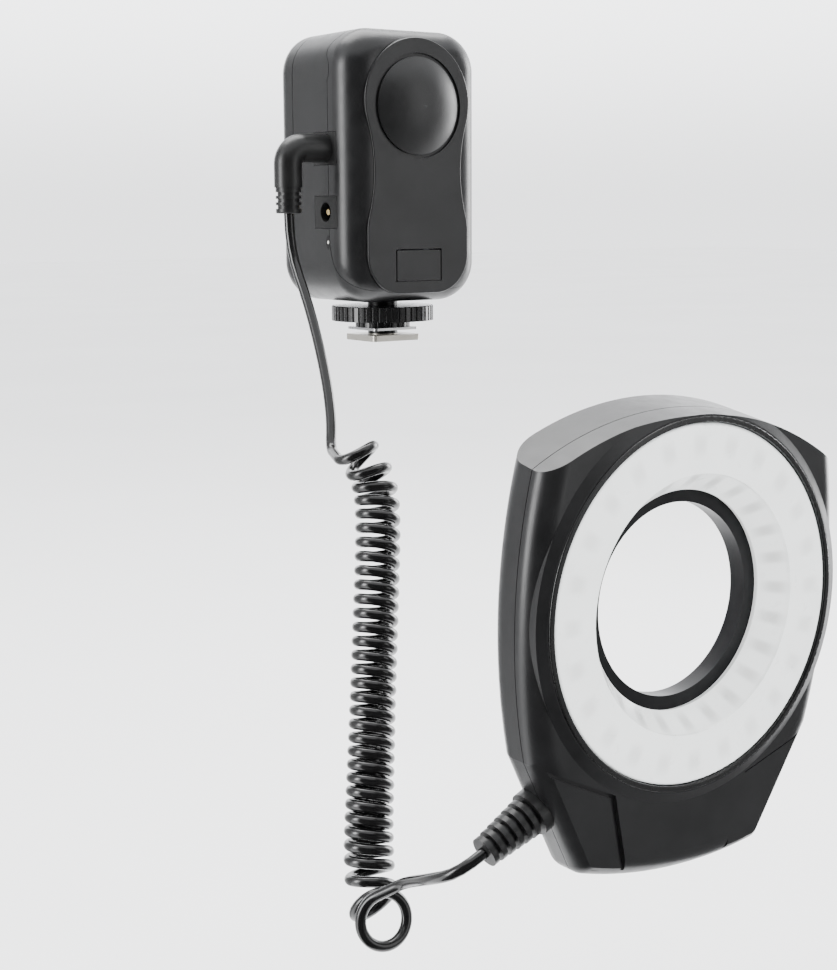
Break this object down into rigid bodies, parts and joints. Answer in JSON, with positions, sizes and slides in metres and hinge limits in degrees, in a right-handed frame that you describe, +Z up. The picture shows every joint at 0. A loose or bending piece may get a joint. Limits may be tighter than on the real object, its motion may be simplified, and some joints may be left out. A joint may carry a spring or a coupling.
{
  "type": "led ring light",
  "caption": "Macro ring light: battery controller on a locking shoe foot, curly cord with right-angled plug, and a lamp head with diffuser and lens adapter ring.",
  "frame": {"origin": "middle of the underside of the controller's shoe foot", "axes": "+Z up, -Y towards the subject that the lamp lights, +X to the right seen from the front"},
  "size_m": [0.1354, 0.1826, 0.2645],
  "materials": {
    "casing": "fine satin grain",
    "gloss_black": "gloss",
    "cord_rubber": "smooth, slight sheen",
    "grip_rubber": "satin",
    "diffuser_white": "frosted face, polished edge",
    "reflector_white": "gloss",
    "black_metal": "satin black anodised",
    "foot_metal": "satin",
    "steel": "brushed",
    "contact_brass": "polished",
    "board_green": "solder mask",
    "chip_black": "moulded",
    "led_face": "clear over phosphor",
    "cell_wrap": "plain sleeve",
    "lamp_lens": "translucent"
  },
  "bodies": {
    "housing": {"unit_front_shell": "casing", "unit_middle_shell": "casing", "unit_back_cover": "casing", "head_front_shell": "casing", "head_back_shell": "casing", "battery_tray": "casing", "output_jack": "gloss_black", "power_jack": "gloss_black", "bezel": "gloss_black", "cord_upper": "cord_rubber", "cord_coil": "cord_rubber", "cord_lower": "cord_rubber", "cord_plug": "grip_rubber", "plug_collar": "grip_rubber", "ring_boot": "grip_rubber", "diffuser": "diffuser_white", "reflector": "reflector_white", "foot_plate": "foot_metal", "unit_screws": "steel", "head_screws": "steel", "spring_leaves": "steel", "contact_leaves": "steel", "shoe_contact": "contact_brass", "plug_tip": "contact_brass", "power_pin": "contact_brass", "main_board": "board_green", "led_board": "board_green", "board_parts": "chip_black", "control_bodies": "chip_black", "leds": "led_face", "battery_cell_1": "cell_wrap", "battery_cell_2": "cell_wrap", "battery_cell_3": "cell_wrap", "battery_cell_4": "cell_wrap", "charge_lamp": "lamp_lens", "ready_lamp": "lamp_lens"},
    "clamp": {"clamp_plate": "steel"},
    "lock_wheel": {"lock_wheel": "gloss_black"},
    "door": {"battery_door": "casing", "front_dome": "gloss_black"},
    "door_tab": {"door_tab": "casing"},
    "brightness_dial": {"brightness_dial": "gloss_black"},
    "mode_switch": {"mode_switch": "gloss_black"},
    "side_switch": {"side_switch": "gloss_black"},
    "test_button": {"test_button": "gloss_black"},
    "adapter_ring": {"adapter_ring": "black_metal"},
    "latch_left": {"latch_left": "gloss_black"},
    "latch_right": {"latch_right": "gloss_black"}
  },
  "joints": [
    {"name": "clamp_lift", "type": "slide", "parent": "housing", "child": "clamp", "axis": [0, 0, 1], "range_m": [0, 0.0012]},
    {"name": "wheel_turn", "type": "hinge", "parent": "clamp", "child": "lock_wheel", "pos_m": [0, 0, 0.0092], "axis": [0, 0, 1], "range_deg": [0, 432]},
    {"name": "door_slide", "type": "slide", "parent": "housing", "child": "door", "axis": [0, -1, 0], "range_m": [0, 0.012]},
    {"name": "door_latch", "type": "hinge", "parent": "door", "child": "door_tab", "pos_m": [0, -0.02115, 0.0205], "axis": [-1, 0, 0], "range_deg": [0, 6], "stiffness_Nm_per_rad": 0.05},
    {"name": "dial_turn", "type": "hinge", "parent": "housing", "child": "brightness_dial", "pos_m": [0, 0.0206, 0.08], "axis": [0, 1, 0], "range_deg": [-135, 135]},
    {"name": "mode_slide", "type": "slide", "parent": "housing", "child": "mode_switch", "axis": [0, 0, 1], "range_m": [-0.0025, 0.0025]},
    {"name": "side_slide", "type": "slide", "parent": "housing", "child": "side_switch", "axis": [0, 0, 1], "range_m": [-0.0025, 0.0025]},
    {"name": "test_press", "type": "slide", "parent": "housing", "child": "test_button", "axis": [0, -1, 0], "range_m": [0, 0.0008], "stiffness_N_per_m": 300, "springref_m": -0.0005},
    {"name": "adapter_turn", "type": "hinge", "parent": "housing", "child": "adapter_ring", "pos_m": [0, -0.1435, -0.0633], "axis": [0, 1, 0], "continuous": true},
    {"name": "latch_left_slide", "type": "slide", "parent": "housing", "child": "latch_left", "axis": [-0.9981, 0, 0.061], "range_m": [0, 0.0021], "stiffness_N_per_m": 400, "springref_m": -0.001},
    {"name": "latch_right_slide", "type": "slide", "parent": "housing", "child": "latch_right", "axis": [0.9981, 0, -0.061], "range_m": [0, 0.0021], "stiffness_N_per_m": 400, "springref_m": -0.001}
  ],
  "couplings": [
    {"joint": "wheel_turn", "follows": "clamp_lift", "rad_per_m": 6283.2}
  ]
}
